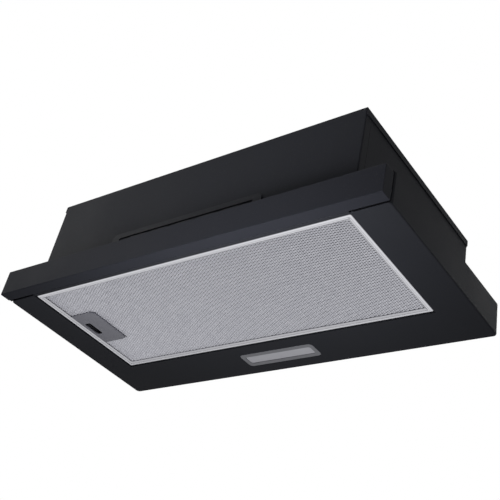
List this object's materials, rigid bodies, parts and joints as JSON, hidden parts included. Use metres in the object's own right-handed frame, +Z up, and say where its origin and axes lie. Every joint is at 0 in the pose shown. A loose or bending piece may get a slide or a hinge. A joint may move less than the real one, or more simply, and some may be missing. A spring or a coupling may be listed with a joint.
{
  "type": "pull out range hood",
  "caption": "Cabinet range hood with a pull out tray that carries a hinged grease filter, front keys, an underside lamp, a centrifugal blower and a round duct outlet with flaps.",
  "frame": {"origin": "middle of the hood's footprint, on the plane of its underside", "axes": "+X to the right seen from the front, +Y to the back, towards the wall, +Z up, towards the duct"},
  "size_m": [0.598, 0.2954, 0.18],
  "materials": {
    "paint": "satin dark grey powder coat",
    "fascia_plastic": "satin black moulding",
    "circuit_board": "green circuit board",
    "lamp_plastic": "mid grey satin moulding",
    "lamp_lens": "frosted diffuser",
    "white_plastic": "plain moulding",
    "black_plastic": "plain black moulding",
    "latch_plastic": "grey satin moulding",
    "aluminium": "brushed anodised",
    "mesh_aluminium": "expanded mesh",
    "zinc_steel": "zinc plated",
    "motor_steel": "plain steel"
  },
  "bodies": {
    "housing": {"base_pan": "paint", "body_wrap": "paint", "front_panel": "paint", "top_cover": "paint", "control_fascia": "fascia_plastic", "control_board": "circuit_board", "lamp_bezel": "lamp_plastic", "lamp_lens": "lamp_lens", "lamp_board": "circuit_board", "lamp_driver": "white_plastic", "inner_filter_frame": "aluminium", "inner_filter_mesh": "aluminium", "inner_filter_rail": "zinc_steel", "terminal_box": "white_plastic", "terminal_lid": "white_plastic", "capacitor": "white_plastic", "cable_gland": "black_plastic", "blower_housing_right": "black_plastic", "blower_housing_left": "black_plastic", "motor_body": "motor_steel", "motor_bracket": "zinc_steel", "outlet_collar": "black_plastic", "flap_bar": "zinc_steel", "rail_outer_right": "zinc_steel", "rail_outer_left": "zinc_steel"},
    "tray": {"handle_bar": "paint", "tray_front": "paint", "tray_side_right": "paint", "tray_side_left": "paint", "tray_rear": "paint", "rail_inner_right": "zinc_steel", "rail_inner_left": "zinc_steel"},
    "middle_rail_right": {"rail_middle_right": "zinc_steel"},
    "middle_rail_left": {"rail_middle_left": "zinc_steel"},
    "grease_filter": {"filter_frame": "aluminium", "filter_mesh": "mesh_aluminium", "filter_media": "mesh_aluminium", "filter_backing": "mesh_aluminium", "filter_pin_front": "zinc_steel", "filter_pin_rear": "zinc_steel", "latch_housing": "latch_plastic"},
    "filter_latch": {"latch_slider": "black_plastic", "latch_spring": "zinc_steel"},
    "control_key_1": {"key_1": "black_plastic"},
    "control_key_2": {"key_2": "black_plastic"},
    "control_key_3": {"key_3": "black_plastic"},
    "control_key_4": {"key_4": "black_plastic"},
    "control_key_5": {"key_5": "black_plastic"},
    "rear_flap": {"flap_rear": "black_plastic"},
    "front_flap": {"flap_front": "black_plastic"},
    "fan_wheel": {"impeller": "white_plastic", "motor_shaft": "zinc_steel"}
  },
  "joints": [
    {"name": "tray_slide", "type": "slide", "parent": "housing", "child": "tray", "axis": [0, -1, 0], "range_m": [0, 0.16]},
    {"name": "middle_rail_right_slide", "type": "slide", "parent": "housing", "child": "middle_rail_right", "axis": [0, -1, 0], "range_m": [0, 0.08]},
    {"name": "middle_rail_left_slide", "type": "slide", "parent": "housing", "child": "middle_rail_left", "axis": [0, -1, 0], "range_m": [0, 0.08]},
    {"name": "filter_hinge", "type": "hinge", "parent": "tray", "child": "grease_filter", "pos_m": [0.2468, -0.02505, 0.0031], "axis": [0, -1, 0], "range_deg": [0, 80]},
    {"name": "latch_slide", "type": "slide", "parent": "grease_filter", "child": "filter_latch", "axis": [1, 0, 0], "range_m": [0, 0.006], "stiffness_N_per_m": 300, "deforming": ["latch_spring"]},
    {"name": "key_1_press", "type": "slide", "parent": "housing", "child": "control_key_1", "axis": [0, 1, 0], "range_m": [0, 0.002], "stiffness_N_per_m": 300},
    {"name": "key_2_press", "type": "slide", "parent": "housing", "child": "control_key_2", "axis": [0, 1, 0], "range_m": [0, 0.002], "stiffness_N_per_m": 300},
    {"name": "key_3_press", "type": "slide", "parent": "housing", "child": "control_key_3", "axis": [0, 1, 0], "range_m": [0, 0.002], "stiffness_N_per_m": 300},
    {"name": "key_4_press", "type": "slide", "parent": "housing", "child": "control_key_4", "axis": [0, 1, 0], "range_m": [0, 0.002], "stiffness_N_per_m": 300},
    {"name": "key_5_press", "type": "slide", "parent": "housing", "child": "control_key_5", "axis": [0, 1, 0], "range_m": [0, 0.002], "stiffness_N_per_m": 300},
    {"name": "rear_flap_hinge", "type": "hinge", "parent": "housing", "child": "rear_flap", "pos_m": [0, 0.06445, 0.168], "axis": [1, 0, 0], "range_deg": [0, 75]},
    {"name": "front_flap_hinge", "type": "hinge", "parent": "housing", "child": "front_flap", "pos_m": [0, 0.06445, 0.168], "axis": [-1, 0, 0], "range_deg": [0, 75]},
    {"name": "fan_spin", "type": "hinge", "parent": "housing", "child": "fan_wheel", "pos_m": [0, 0.0857, 0.1055], "axis": [1, 0, 0], "continuous": true}
  ],
  "couplings": [
    {"joint": "middle_rail_right_slide", "follows": "tray_slide", "ratio": 0.5},
    {"joint": "middle_rail_left_slide", "follows": "tray_slide", "ratio": 0.5}
  ]
}
